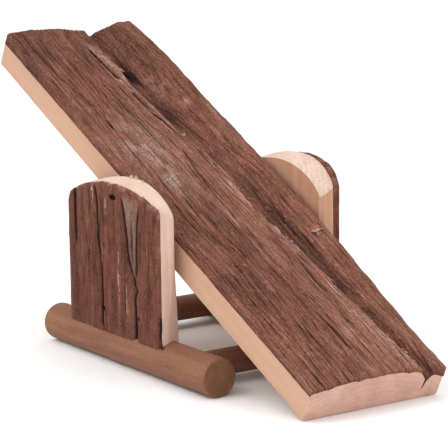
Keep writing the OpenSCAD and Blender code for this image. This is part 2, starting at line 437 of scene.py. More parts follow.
def board_surface(u, v):
    """Height of the bark's skin, the painted shade of its crevices, cracks and pit, tone (above zero where
    pale, and lowered by painted shade in the trough and the hollows), wear and scuffs.
    """
    noise = Noise(21)
    fissure = fissure_place(u)
    lip = lip_place(u)
    down = (v - lip) / (fissure - lip)
    from_split = v - along_line(LIP_SPLIT, u)
    relief, crevice = stringy_bark(u, v, seed=11)
    cracks = board_cracks(u, v)

    on_strip = step(-101, -95, u) * (1 - step(-38, -30, u))
    strip = on_strip * step(0.6, 1.3, from_split) * (1 - step(0.3, 0.6, down))
    knot = spots(u, v, KNOTS)
    rings = np.cos(np.hypot((u + 68) / 1.8, (v - 15.6) / 0.9) * 1.7 + 3.5 * noise(u / 3, v / 2))
    hump = step(-1, 3, v - fissure) * step(40, -20, u)
    calm = np.clip(0.9 * strip + 0.6 * knot + 0.5 * spot(u, v, (84, 9), (20, 7)) + 0.35 * hump, 0, 1)
    height = board_shape(u, v) + relief * (1 - 0.65 * calm) + 0.45 * knot * rings - cracks
    height += strip * (0.4 * noise(u / 9, v / 0.5 + 20) + 0.25 * noise(u / 2.5, v / 0.9 + 50))

    # The trough beside the fissure, which is darkened below with painted shade.
    rising = (v - fissure) / 13 + 0.12 * noise(u / 7, v / 3)
    trough_shade = step(0.05, 0.35, down) * (1 - step(0.15, 0.4, rising))
    worn = spots(u, v, WORN_SPOTS) * step(-0.9, 0.1, noise(u / 6, v / 2.5 + 9))
    torn = bell(v - lip + 0.5, 0.8) * step(-0.3, 0.4, noise(u / 2.2, v / 1.2 + 7))
    torn = torn * step(-40, -20, u) * step(-0.2, 0.4, noise(u / 6, 77))
    tone = spots(u, v, TONE_SPOTS) + 0.4 * worn + 0.8 * torn + 0.9 * knot * (0.5 + 0.5 * rings)
    tone += (0.35 + 0.6 * bell(u + 90, 9)) * strip + 0.5 * bell(from_split + 1.3, 0.5) * on_strip
    tone += 0.3 * step(19, 25, v) * step(-60, -110, u) + 0.3 * bell(v - lip + 2, 2.2) * step(-20, 0, u)
    # Painted shade: darker in the trough beside the fissure, in the hollow at u -50 and in the pit.
    tone -= (0.15 + 0.2 * step(-60, -20, u) + 0.4 * step(-8, 20, u)) * trough_shade
    tone -= 0.8 * spot(u, v - fissure, (-50, 0.5), (12, 3)) + 0.6 * spot(u, v - fissure, PIT, (8, 1.8))
    tone -= 0.35 * step(-30, -100, u) + 0.12 * hump + 0.15 * step(-19, -26, v) - 0.14 * step(60, 90, u)
    # Painted shade in the crevices and cracks, darkest in the pit.
    crevice = crevice * (1 - 0.5 * calm) + 1.1 * np.minimum(cracks, 1)
    crevice += 1.3 * spot(u, v - fissure, PIT, (5, 1.2))
    wear = np.clip(worn + 0.5 * torn + 0.5 * knot + 0.6 * strip, 0, 1.2)
    scuff = np.clip(worn + 0.5 * torn + 0.3 * strip, 0, 1.2)
    return height, crevice, tone, wear, scuff


def bark_skin(place, bark):
    """The board's bark: a dense skin with torn edges that wraps down to the wood."""
    along, drop_along = wrapped(BOARD_HALF_LENGTH, 40)
    across, drop_across = wrapped(BOARD_HALF_WIDTH + 0.12, 36)
    u, v = np.meshgrid(along, across, indexing="ij")
    drop = 1 - np.outer(1 - drop_along, 1 - drop_across)
    height, crevice, tone, wear, scuff = board_surface(u, v)

    noise = Noise(31)
    edge = step(BOARD_HALF_WIDTH - 3, BOARD_HALF_WIDTH, np.abs(v))
    torn = np.where(v > 0, 0.5 * noise.layered(u / 7, 3, 3) - 0.15, 0.1 * noise(u / 5, 8))
    end = step(BOARD_HALF_LENGTH - 3, BOARD_HALF_LENGTH, np.abs(u))
    broken = 0.3 * noise.layered(v / 3, 60 + np.sign(u), 3) - 0.25 * step(20, 14, v)
    wood_top = wood_height(u, v)
    points = np.stack([
        u + np.sign(u) * end * broken,
        v + np.sign(v) * edge * torn,
        mix(np.maximum(height, wood_top + 0.25), wood_top - 0.3, drop)], 2)
    under = points * (0.999, 0.995, 1)
    under[..., 2] = wood_top - 0.5
    marks = sheet_marks(crevice=crevice + 0.25 * drop, tone=tone - 0.3 * drop, wear=wear, scuff=scuff)
    make_piece(
        "board_bark_skin", closed_sheet(points, under), "rocker", ["board_bark"], "board_bark",
        [bark], place=place, shade_angle=80, marks=marks)


# The split in the board's wood at its front end, under the fissure: where it starts along the
# board, its depth and its half width.
SPLIT_START = 98.0
SPLIT_DEPTH = 5.0
SPLIT_HALF_WIDTH = 0.8


def board_wood(place, wood, end_wood):
    """The board's sawn wood, with eased edges and the split at its front end."""
    half, ease = BOARD_HALF_WIDTH, 0.35
    ends = BOARD_HALF_LENGTH - np.array([0, 0.15, ease, 1.5, 3, 5, 8])
    rows = np.concatenate([-ends, np.linspace(-SPLIT_START, SPLIT_START, 99), ends[::-1]])
    split_at = along_line(FISSURE_PLACE, BOARD_HALF_LENGTH)
    split_points = split_at + SPLIT_HALF_WIDTH * np.array([-1, 0, 1])
    tops = np.sort(np.concatenate([np.linspace(-half + 0.2, half - 0.2, 45), split_points]))[::-1]
    noise = Noise(3)
    rings = []
    for u in rows:
        inset = ease * (1 - step(0, ease, BOARD_HALF_LENGTH - abs(u)))
        depth = SPLIT_DEPTH * step(SPLIT_START, BOARD_HALF_LENGTH, u) * (np.abs(tops - split_at) < 0.1)
        height = wood_height(np.full(tops.shape, u), tops) - inset - depth
        side = half - inset + 0.04 * noise(u / 2.5, 0)
        section = [(-side + ease, inset), (side - ease, inset), (side, inset + ease)]
        section += [(side, height[0] - 0.1)]
        section += [(v * (half - inset) / half - 0.2 * d, w) for v, w, d in zip(tops, height, depth)]
        section += [(-side, height[-1] - 0.1), (-side, inset + ease)]
        rings.append([(u, v, w) for v, w in section])
    make_piece(
        "board_wood_body", sweep_rings(np.array(rings)), "rocker", ["board"], "board_wood",
        [wood, end_wood], place=place, shade_angle=35,
        second=outer_faces(len(rings), len(rings[0]), 2))


def strand(path, width, thickness, seed):
    """A torn strip of bark through (u, v, w) points, tapered to both ends."""
    rng = np.random.default_rng(seed)
    path = np.array(path, float)
    count = 6 * len(path)
    t = np.linspace(0, 1, count)
    at = np.linspace(0, 1, len(path))
    line = np.stack([np.interp(t, at, path[:, k]) for k in range(3)], 1)
    line[1:-1] = (line[:-2] + 2 * line[1:-1] + line[2:]) / 4
    line += rng.normal(0, 0.05, line.shape)
    size = np.clip(np.sin(np.pi * t) ** 0.5, 0.12, 1) * rng.uniform(0.8, 1.2, count)
    twist = np.cumsum(rng.normal(0, 0.12, count))
    heading = np.gradient(line, axis=0)
    heading /= np.linalg.norm(heading, axis=1)[:, None]
    side = np.cross(heading, (0, 0, 1))
    side /= np.linalg.norm(side, axis=1)[:, None] + 1e-9
    lift = np.cross(side, heading)
    rings = []
    for p, s, up, k, roll in zip(line, side, lift, size, twist):
        angles = np.arange(8) * math.tau / 8
        flat, tall = np.cos(angles) * width / 2 * k, np.sin(angles) * thickness / 2 * k
        across = flat * math.cos(roll) - tall * math.sin(roll)
        rise = flat * math.sin(roll) + tall * math.cos(roll)
        rings.append(p + across[:, None] * s + rise[:, None] * up)
    return sweep_rings(np.array(rings)[:, ::-1])


# Strips that have come loose along the fissure's lip: (u, v, height over the skin) points,
# width, thickness and tone.
LIP_STRANDS = (
    (((-99, 2.6, 0.1), (-90, 4.2, 0.5), (-80, 4.6, 0.5), (-72, 4.8, 0.3), (-66, 4.4, 0)), 1.5, 0.45, 0.7),
    (((-92, 1.8, 0.1), (-89, 2.6, 0.6), (-85, 3.1, 0.8), (-81, 3.8, 0.6), (-78, 4.3, 0.1)), 2.4, 0.35, 0.75),
    (((-73, 0.6, 0.1), (-70, 1.2, 0.4), (-67, 1.9, 0.4), (-63, 2.8, 0.1)), 1.1, 0.3, 0.8),
    (((-66, 3.6, 0.1), (-58, 4.2, 0.7), (-48, 4.8, 1.0), (-40, 6.2, 0.9), (-33, 7.6, 0.2)), 0.9, 0.4, 0.7),
    (((-62, 2.4, 0), (-52, 3.0, 0.5), (-43, 4.4, 0.5), (-36, 5.6, 0.1)), 0.5, 0.35, 0.7),
    (((-92, 6.4, 0.1), (-86, 7.0, 0.6), (-82, 7.6, 1.1), (-80, 9.0, 1.4)), 0.6, 0.3, 1.2),
    (((-86, 6.8, 0.2), (-81, 7.2, 0.9), (-79, 7.6, 1.6)), 0.5, 0.25, 1.2),
    (((-91.5, 5.6, 0.2), (-90, 6.4, 0.9), (-88, 6.6, 1.5)), 0.5, 0.25, 1.2),
    (((-35, 7.4, 0.2), (-33, 8.2, 0.9), (-34, 9.0, 1.3), (-36, 9.2, 0.8)), 0.6, 0.3, 1.2),
    (((-96, -0.9, 0.1), (-84, -0.6, 0.3), (-72, -0.4, 0.3), (-62, 0.6, 0.1)), 0.6, 0.3, 0.7),
    (((-30, 9.6, 0.1), (-22, 10.6, 0.4), (-12, 11.4, 0.3), (-4, 11.8, 0.1)), 0.6, 0.3, 0.7),
)
# Chips that stand up from the bark: u, v, length, lean across the grain and width.
CHIPS = (
    (1.0, 11.2, 2.2, -0.9, 0.6), (1.8, 11.6, 2.0, 0.6, 0.5), (7.6, 11.9, 2.0, 1.2, 0.5),
    (13.8, 15.2, 2.8, -0.6, 1.0), (14.8, 14.6, 2.2, 0.9, 0.8),
    (33.2, 22.2, 3.2, 1.0, 1.9), (35.4, 23.2, 2.6, -1.4, 1.4), (33.8, 23.8, 2.4, 1.6, 1.1),
    (-36.4, 8.4, 2.2, 0.8, 0.5), (44.4, -14.3, 3.0, 0.3, 0.6), (98.0, 18.3, 1.6, 0.8, 0.5),
    (104, 16.9, 1.3, 0.9, 0.4), (-3.5, 23.1, 1.8, 0.4, 0.8), (34.6, 12.1, 1.8, 0.5, 0.6),
    (57.5, 14.4, 2.2, 0.4, 0.6), (49.5, 12.6, 2.5, 0.3, 0.5), (-60, -11, 1.2, 0.5, 0.4),
)
# How many small chips are scattered along the fissure's lip, and how thick all chips are.
SMALL_CHIPS = 26
CHIP_THICKNESS = 0.22


def split_filling():
    """A wedge of bark in the split at the board's front end."""
    split_at = along_line(FISSURE_PLACE, BOARD_HALF_LENGTH)
    rings = []
    for u, depth in ((SPLIT_START, 0.3), (104, 2.2), (109.93, 4.4)):
        top = float(wood_height(np.array(u), np.array(split_at))) + 0.4
        rings.append([(u, split_at + v, w) for v, w in ((-0.9, top), (0.8, top), (-0.9, top - depth))])
    return sweep_rings(np.array(rings))


def board_splinters(place, bark):
    """Loose strips, chips and small splinters, and the bark that fills the front end's split."""
    solids = []
    tones = []

    def add(solid, tone):
        solids.append(solid)
        tones.append(np.full(len(solid[0]), tone))

    for k, (points, width, thickness, tone) in enumerate(LIP_STRANDS):
        u, v, over = np.array(points, float).T
        path = np.stack([u, v, board_surface(u, v)[0] + over], 1)
        add(strand(path, width, thickness, 500 + k), tone)
    rng = np.random.default_rng(77)
    chips = list(CHIPS)
    for _ in range(SMALL_CHIPS):
        u = rng.uniform(-30, 108)
        v = float(lip_place(u)) + rng.normal(0, 0.5)
        chips.append((u, v, rng.uniform(0.5, 1.3), rng.uniform(-0.5, 0.9), 0.35))
    for k, (u, v, length, lean, width) in enumerate(chips):
        along = u + length * np.array([0, 0.5, 1])
        across = v + lean * np.array([0, 0.5, 1])
        skin = board_surface(along, across)[0][0]
        rise = np.array([-0.1, 0.1 + 0.5 * width, 0.1 + width * rng.uniform(0.5, 1.3)])
        path = np.stack([along, across, skin + rise], 1)
        add(strand(path, width, CHIP_THICKNESS, 900 + k), rng.uniform(0.6, 1.3))
    add(split_filling(), -1.4)
    solid = joined(solids)
    # The loose pieces get a little painted shade.
    marks = {"crevice": np.full(len(solid[0]), 0.1), "tone": np.concatenate(tones)}
    make_piece(
        "board_bark_splinters", solid, "rocker", [], "board_bark",
        [bark], place=place, shade_angle=60, marks=marks)


# ---- Plates

# The plates grow thicker towards their feet, on the inner side, between two heights.
FOOT_FLARE = 2.0
FLARE_TOP = 46.0
FLARE_END = 8.0
# About where their feet meet the rails, and how deep they are set in them.
FOOT_Z = 12.0
FOOT_SUNK = 0.15
# A plate's outline at its inner and outer face: the crown's place in front of the pivot, its
# height, and the arch's radius behind and in front of it.
RIGHT_OUTLINES = ((3.5, 67.4, 86, 38), (-1, 65.9, 70, 86))
LEFT_OUTLINES = ((3.5, 68.3, 60, 38.5), (14, 72.1, 75, 17.5))
# Radius of the rounded rear and front shoulders.
REAR_SHOULDER = 3.0
FRONT_SHOULDER = 1.0
# Cracks in the plates' bark: (height, place in front of the pivot) points, width and depth.
RIGHT_CRACKS = (
    (((38.6, -26.0), (50, -26.0), (61, -26.5), (66, -26.6)), 0.7, 1.8),
    (((10, -7.2), (13.4, -8.4), (20, -8.2), (31, -8.2), (38.8, -8.6)), 0.55, 1.7),
    (((36, -8.4), (38.8, -8.6), (43.3, -9.8), (47.5, -10.5), (57, -10.9), (66, -12.4)), 0.55, 1.7),
    (((8, 13.2), (20, 14.0), (26, 13.6), (28, 14.4), (30, 15.3), (31.5, 14.2), (34, 13.8), (36.5, 11.9)),
     0.6, 1.7),
    (((33, 14), (36.5, 11.9), (42, 10), (48, 9.1), (55, 7.4), (63, 5.2)), 0.6, 1.7),
    (((33, 13.9), (36, 15.2), (44, 14.9), (53, 15.9), (61, 17.3)), 0.55, 1.4),
    (((37, 12.5), (46.7, 12.2), (56, 12.2)), 0.45, 1.1),
    (((7, 29.2), (15, 29.2), (25, 29.4)), 0.7, 1.5),
    (((9, -5.2), (14, -6.3), (22, -6.2)), 0.35, 0.8),
    (((39, -7.0), (43, -6.0), (46, -5.6)), 0.5, 0.7),
    (((50, -16.4), (58, -16.2), (65, -16.6)), 0.4, 0.8),
    (((22, -17.2), (33, -17.0), (48, -18.2)), 0.25, 0.5),
    (((20, 22.6), (36, 22.8), (50, 23.2)), 0.25, 0.6),
)
# Rear and front edge of the grey strip between two of the right plate's cracks, as (height,
# place) points.
GREY_REAR = ((36.5, 11.9), (42, 10), (48, 9.1), (55, 7.4), (63, 5.2))
GREY_FRONT = ((36, 15.2), (44, 14.9), (53, 15.9), (61, 17.3))
LEFT_CRACKS = (
    (((10, -14), (25, -13), (40, -15), (64, -14)), 0.4, 1.5),
    (((9, 6), (24, 7), (38, 5), (52, 6), (66, 8)), 0.38, 1.5),
    (((30, 19), (44, 18), (62, 20)), 0.4, 1.3),
    (((9, 22), (20, 23), (33, 22)), 0.3, 1.0),
    (((34, -24), (48, -23), (63, -24)), 0.35, 1.2),
)
# Pale streaks on the right plate's bark, as spots at (height, place).
PLATE_STREAKS = (
    (2.4, (33, 3.2), (9, 0.5)), (1.6, (26, 8.3), (9, 0.4)),
    (2.4, (60.5, -13.8), (3, 0.5)), (1.2, (58, -5), (4, 0.7)))
# Place of each plate nail in front of the pivot, its lean from upright, how far it reaches from
# the bark's face and the height where it goes in, as in the CAD.
PLATE_NAIL_X = (-8.0, 16.0)
PLATE_NAIL_LEAN = math.radians(38)
PLATE_NAIL_LENGTH = 14.0
PLATE_NAIL_Z = 20.0
# How far below the bark's face its head is sunk. The CAD's plain nails start at that face.
PLATE_NAIL_SINK = 2.4
# Torn holes in the bark over the nails: place in front of the pivot, height, radius and how
# many times as wide as high they are.
NAIL_HOLES = (
    (0, pivot.z, 0.95, 2.3), (PLATE_NAIL_X[0], 19.9, 1.0, 1.3), (PLATE_NAIL_X[1], 19.9, 0.6, 1.3))
# How the two plates' barks differ: how much the upright edges are rounded, how ragged the top
# edge is, how far the bark stops below the top, how much it thickens towards its front edge,
# and whether it has a grey strip, a rotten crack and a pale top edge.
RIGHT_BARK = {"rounding": 0.5, "ragged": 0.45, "lowered": 0, "swell": 0, "aged": True}
LEFT_BARK = {"rounding": 0.1, "ragged": 0.2, "lowered": 1.1, "swell": 0.9, "aged": False}


class Plate:
    """A plate's outline and layers, from its CAD nodes. side is -1 on the right and 1 on the left."""

    def __init__(self, name, side, outlines, bark):
        self.name = name
        self.side = side
        self.outlines = outlines
        self.bark = bark
        wood_low, wood_high = box_mm(name)
        bark_low, bark_high = box_mm(name + "_bark")
        self.rear, self.front = wood_low.x, wood_high.x
        self.inner, self.joint = sorted((abs(wood_low.y), abs(wood_high.y)))
        self.outer = max(abs(bark_low.y), abs(bark_high.y))
        rail_low, rail_high = box_mm(name.replace("plate", "rail"))
        self.rail_y = abs(rail_low.y + rail_high.y) / 2
        self.rail_r = (rail_high.y - rail_low.y) / 2

    def outline_top(self, x, outline):
        """Height of one face's arched top at x, with its rounded shoulders."""
        crown_x, crown_z, rear_arch, front_arch = outline
        from_crown = x - pivot.x - crown_x
        radius = np.where(from_crown < 0, rear_arch, front_arch)
        top = crown_z - radius + np.sqrt(np.maximum(radius**2 - from_crown**2, 0))
        for edge, shoulder in ((x - self.rear, REAR_SHOULDER), (self.front - x, FRONT_SHOULDER)):
            beyond = np.clip(1 - edge / shoulder, 0, 1)
            top = top - shoulder * (1 - np.sqrt(1 - beyond**2))
        return top

    def top_at(self, x, y):
        """Height of the top at x and at a distance y from the middle."""
        share = (y - self.inner) / (self.outer - self.inner)
        inner, outer = (self.outline_top(x, outline) for outline in self.outlines)
        return mix(inner, outer, share)

    def foot_at(self, y):
        """Height of the rail's round top at a distance y from the middle, where the plate stands."""
        return self.rail_r + np.sqrt(np.maximum(self.rail_r**2 - (y - self.rail_y) ** 2, 0))


def plate_grid(plate, inset, foot_inset, depth, foot_depth, rows=42, count=61):
    """Points of an upright face of a plate, at a depth from the middle.

    inset draws its sides in, and foot_inset and foot_depth are added at the foot.
    """
    t = np.linspace(0, 1, rows)[:, None]
    ease = 0.5 - 0.5 * np.cos(np.linspace(0, math.pi, count))[None, :]
    x = mix(plate.rear, plate.front, ease)
    foot_y = depth + foot_depth * step(FLARE_TOP, FLARE_END, FOOT_Z)
    z = mix(plate.foot_at(foot_y) - FOOT_SUNK, plate.top_at(x, depth), t)
    foot = step(FLARE_TOP, FLARE_END, z)
    side = 2 * ease - 1
    x = x - np.sign(side) * np.abs(side) ** 8 * (inset + foot_inset * foot)
    return np.stack([x, plate.side * (depth + foot_depth * foot), z], 2)


def plate_wood(plate, wood, end_wood):
    """A plate's wood: arched top, chamfered inner edges and a foot that flares inwards."""
    grids = [
        plate_grid(plate, 1.3, 1.2, plate.inner, -FOOT_FLARE),
        plate_grid(plate, 0.1, 0, plate.inner + 1.2, 2.2),
        plate_grid(plate, 0, 0, plate.inner + 1.6, 2.4),
        plate_grid(plate, 0, 0, plate.joint - 0.4, 0),
        plate_grid(plate, 0.05, 0, plate.joint + 0.05, 0),
    ]
    rows, columns = grids[0].shape[:2]
    size = rows * columns
    points = np.concatenate([g.reshape(-1, 3) for g in grids])
    rims = [grid_rim(rows, columns, k * size) for k in range(len(grids))]
    faces = flipped(grid_quads(rows, columns))
    tops = []
    for low, high in zip(rims, rims[1:]):
        for k in range(len(low)):
            n = (k + 1) % len(low)
            if rows + columns - 2 > k >= rows - 1:
                tops.append(len(faces))
            faces.append([low[k], low[n], high[n], high[k]])
    faces += grid_quads(rows, columns, (len(grids) - 1) * size)
    if plate.side < 0:
        faces = flipped(faces)
    used = sorted(set(i for face in faces for i in face))
    new = {old: k for k, old in enumerate(used)}
    faces = [[new[i] for i in face] for face in faces]
    make_piece(
        plate.name + "_wood", (points[used], faces), "base", [plate.name], "plate_wood",
        [wood, end_wood], shade_angle=35, second=tops)


def plate_bark_tone(plate, z, run, below_top, from_side, noise):
    """How pale a plate's bark is at each place, and how worn."""
    grey = step(0, 0.8, run - along_line(GREY_REAR, z)) * step(0, 0.8, along_line(GREY_FRONT, z) - run)
    grey = grey * step(34, 40, z) * step(64, 59, z) * plate.bark["aged"]
    streaks = spots(z, run, PLATE_STREAKS) * step(-0.3, 0.3, noise(z / 0.9, run / 0.5 + 60))
    chipped = bell(below_top, 3) * step(-12, 2, run) * step(-0.4, 0.3, noise(run / 1.8, z / 1.8 + 30))
    tone = 0.35 * grey + streaks + 0.25 * noise(z / 20, run / 3.5) - 0.1
    tone += 0.5 * bell(below_top, 0.9) * plate.bark["aged"] + 0.7 * chipped + 0.3 * bell(from_side, 1.5)
    return tone, np.clip(grey + streaks, 0, 1)


def plate_bark(plate, cracks, seed, bark):
    """A plate's bark: a dense skin with upright cracks and holes over the nails."""
    half = (plate.front - plate.rear) / 2
    middle = (plate.front + plate.rear) / 2
    x, drop_x = wrapped(half + 0.08, 30)
    t, drop_t = wrapped(1.0, 24, 0.0005)
    rise, aside = np.meshgrid((t + 1) / 2, x, indexing="ij")
    drop = 1 - np.outer(1 - drop_t, 1 - drop_x)
    inside = middle + np.clip(aside, -half, half)
    top = plate.top_at(inside, plate.outer) - plate.bark["lowered"] * step(28, 21, inside - pivot.x)
    z = mix(plate.foot_at(plate.outer) + 0.1, top, rise)
    run = middle + aside - pivot.x

    noise = Noise(seed)
    relief, crevice = stringy_bark(z * 1.1, run + 200, seed + 1, 0.3)
    split = random_cracks(z, run, (10, -29, 60, 29), 60, 0.24, 0.5, seed + 50)
    split = np.maximum(split, deepest(z, run, cracks, seed + 5))
    rot = spot(z, run, (15, 13.8), (5, 1.5)) * (0.7 + 0.5 * noise(z / 1.2, run / 0.8))
    rot = np.clip(rot, 0, 1) * plate.bark["aged"]
    holes = np.zeros(z.shape)
    for hole_x, hole_z, radius, stretch in NAIL_HOLES:
        away = np.hypot((run - hole_x) / stretch, z - hole_z)
        holes = np.maximum(holes, 1 - step(radius * 0.8, radius * 1.1, away))
    thickness = plate.outer - plate.joint
    from_side = np.minimum(plate.front - inside, inside - plate.rear)
    rounding = plate.bark["rounding"] * bell(from_side, 1.2) + 0.5 * bell(top - z, 0.9)
    depth = 0.3 * (relief - 0.3) - 0.7 * split - 0.9 * rot - 0.8 * holes
    depth = depth - rounding * min(1, thickness / 2) - 0.12
    y = plate.outer + plate.bark["swell"] * step(17, 26, run) + np.maximum(depth, 0.12 - thickness)
    ragged = plate.bark["ragged"] * step(2.5, 0, top - z)
    points = np.stack([
        pivot.x + run + 0.12 * np.sign(run) * step(3, 0, from_side) * noise(z / 4, 9),
        plate.side * mix(y, plate.joint - 0.02, drop),
        z + ragged * (noise.layered(run / 1.6, 4, 3) - 0.5)], 2)
    under = points.copy()
    under[..., 0] = middle + (points[..., 0] - middle) * 0.997
    under[..., 1] = plate.side * plate.joint
    points, faces = closed_sheet(points, under)
    if plate.side < 0:
        faces = flipped(faces)
    tone, wear = plate_bark_tone(plate, z, run, top - z, from_side, noise)
    # Painted shade in the crevices and cracks, the sunken rotten crack and, nearly black, the nail holes.
    crevice = 0.6 * crevice + 1.3 * np.minimum(split, 1) + 0.7 * rot + 2.5 * holes
    make_piece(
        plate.name + "_bark_skin", (points, faces), "base", [plate.name + "_bark"], "plate_bark",
        [bark], shade_angle=80, marks=sheet_marks(crevice=crevice, tone=tone - 0.4 * rot, wear=wear))


# Fibres torn up at the plate's top inner edge: place in front of the pivot, length and lean.
WHISKERS = (
    (1.6, 1.2, 1.1), (3.0, 0.9, -0.6), (4.4, 1.4, 1.5), (5.8, 0.9, 0.6), (9.5, 0.7, 0.8), (-6.0, 0.6, -0.5))
# A curled sliver: distance in front of the plate and to the left of its bark, and height.
SLIVER = ((-0.5, 0, 16.5), (0.1, 0, 13.5), (0.5, 0.3, 12.2), (1.4, 0.8, 12.4))


def plate_whiskers(plate, wood):
    """Torn fibres along the inner edge of a plate's arched top."""
    solids = []
    for k, (x, length, lean) in enumerate(WHISKERS):
        start = Vector((pivot.x + x, plate.side * (plate.inner + 0.7), 0))
        start.z = float(plate.top_at(np.array(start.x), plate.inner)) - 0.2
        path = [start, start + Vector((lean * 0.4, 0, length * 0.7)), start + Vector((lean, 0.2, length))]
        solids.append(strand(path, 0.6, 0.35, 700 + k))
    make_piece(plate.name + "_whiskers", joined(solids), "base", [], "plate_wood", [wood], shade_angle=60)


def plate_sliver(plate, bark):
    """A curled sliver of bark that hangs at the foot of a plate's front edge."""
    y = plate.side * (plate.outer - 0.4)
    solid = strand([(plate.front + dx, y + dy, z) for dx, dy, z in SLIVER], 1.3, 0.8, 730)
    count = len(solid[0])
    # The sliver gets some painted shade.
    marks = {"crevice": np.full(count, 0.4), "tone": np.full(count, -0.2)}
    make_piece(
        plate.name + "_bark_sliver", solid, "base", [], "plate_bark", [bark], shade_angle=60, marks=marks)


# ---- Round bars and nails

BAR_SEGMENTS = 64
# Radius of a pivot nail's shank as a share of its head's.
SHANK_SHARE = 0.594


def turned(profile, segments, wobble=None):
    """A solid turned about X through (x, radius) points. wobble adds to a point's radius."""
    angles = np.arange(segments) * math.tau / segments
    rings = []
    for x, radius in profile:
        r = np.full(segments, radius)
        if wobble:
            r = r + wobble(x, angles) * min(1, radius)
        rings.append(np.stack([np.full(segments, x), r * np.cos(angles), r * np.sin(angles)], 1))
    return sweep_rings(rings)


def bar(node, axis, slot, materials, ease, seed):
    """A round bar of branch wood in a CAD node's place, slightly uneven, with eased end rims."""
    low, high = box_mm(node)
    radius = (high.z - low.z) / 2
    half = (high - low)[axis] / 2
    noise = Noise(seed)

    def wobble(x, angles):
        lane = 3 * np.cos(angles) + 40
        return 0.1 * noise(x / 16 + np.sin(angles), lane) + 0.035 * noise(x / 3, lane * 2) - 0.08

    face = [(0.0, 0.3), (0.02, radius * 0.35), (0.0, radius * 0.7), (0.03, radius - ease * 1.25)]
    quarter = np.linspace(0, math.pi / 2, 6)
    end = face + [(ease * (1 - math.cos(a)), radius - ease + ease * math.sin(a)) for a in quarter]
    profile = [(-half + x, r) for x, r in end]
    profile += [(x, radius) for x in np.linspace(-half + ease * 1.6, half - ease * 1.6, 56)]
    profile += [(half - x, r) for x, r in end[::-1]]
    turn = Matrix.Rotation(math.radians(90 * axis), 4, "Z")
    make_piece(
        node + "_bar", turned(profile, BAR_SEGMENTS, wobble), "base", [node], slot, materials,
        place=Matrix.Translation((low + high) / 2 * MM) @ turn, shade_angle=35,
        second=outer_faces(len(profile), BAR_SEGMENTS, len(face) + 1))


def nail_solid(length, radius, head_radius, head_height):
    """A nail along +X from its head's outer face: a domed head, ribs under it and a point."""
    profile = [(0.12, 0.05), (0.08, head_radius * 0.5), (0.0, head_radius * 0.82), (0.12, head_radius)]
    profile += [(head_height * 0.8, head_radius), (head_height, head_radius * 0.9), (head_height, radius)]
    for k in range(3):
        at = head_height + 0.8 + 0.7 * k
        profile += [(at, radius), (at + 0.1, radius * 0.9), (at + 0.25, radius * 0.9), (at + 0.35, radius)]
    profile += [(length - 3 * radius, radius), (length - radius, radius * 0.5), (length, 0.06)]
    return turned(profile, 24)


def pivot_nail(side, steel):
    """The nail that the board turns on, driven in through a plate."""
    name = ("right" if side < 0 else "left") + "_pivot_nail"
    low, high = box_mm(name)
    head_radius = (high.x - low.x) / 2
    face = side * max(abs(low.y), abs(high.y))
    solid = nail_solid(high.y - low.y, head_radius * SHANK_SHARE, head_radius, head_height=0.8)
    turn = Matrix.Rotation(math.radians(-90 * side), 4, "Z")
    place = Matrix.Translation(Vector((pivot.x, face, pivot.z)) * MM) @ turn
    make_piece(name + "_steel", solid, "rocker", [name], "nail_steel", [steel], place=place, shade_angle=35)


def plate_nails(plate, steel):
    """The two leaning nails that hold a plate on its rail, with their heads sunk in the bark."""
    node = plate.name + "_nails"
    solids = []
    down = Vector((0, -plate.side * math.sin(PLATE_NAIL_LEAN), -math.cos(PLATE_NAIL_LEAN)))
    for nail_x in PLATE_NAIL_X:
        length = PLATE_NAIL_LENGTH - PLATE_NAIL_SINK
        points, faces = nail_solid(length, radius=0.6, head_radius=0.85, head_height=0.5)
        entry = Vector((pivot.x + nail_x, plate.side * plate.outer, PLATE_NAIL_Z))
        place = Matrix.Translation(entry + down * PLATE_NAIL_SINK)
        place = place @ down.to_track_quat("X", "Z").to_matrix().to_4x4()
        solids.append((np.array([tuple(place @ Vector(p)) for p in points]), faces))
    make_piece(node + "_steel", joined(solids), "base", [node], "nail_steel", [steel], shade_angle=35)


# ---- Materials

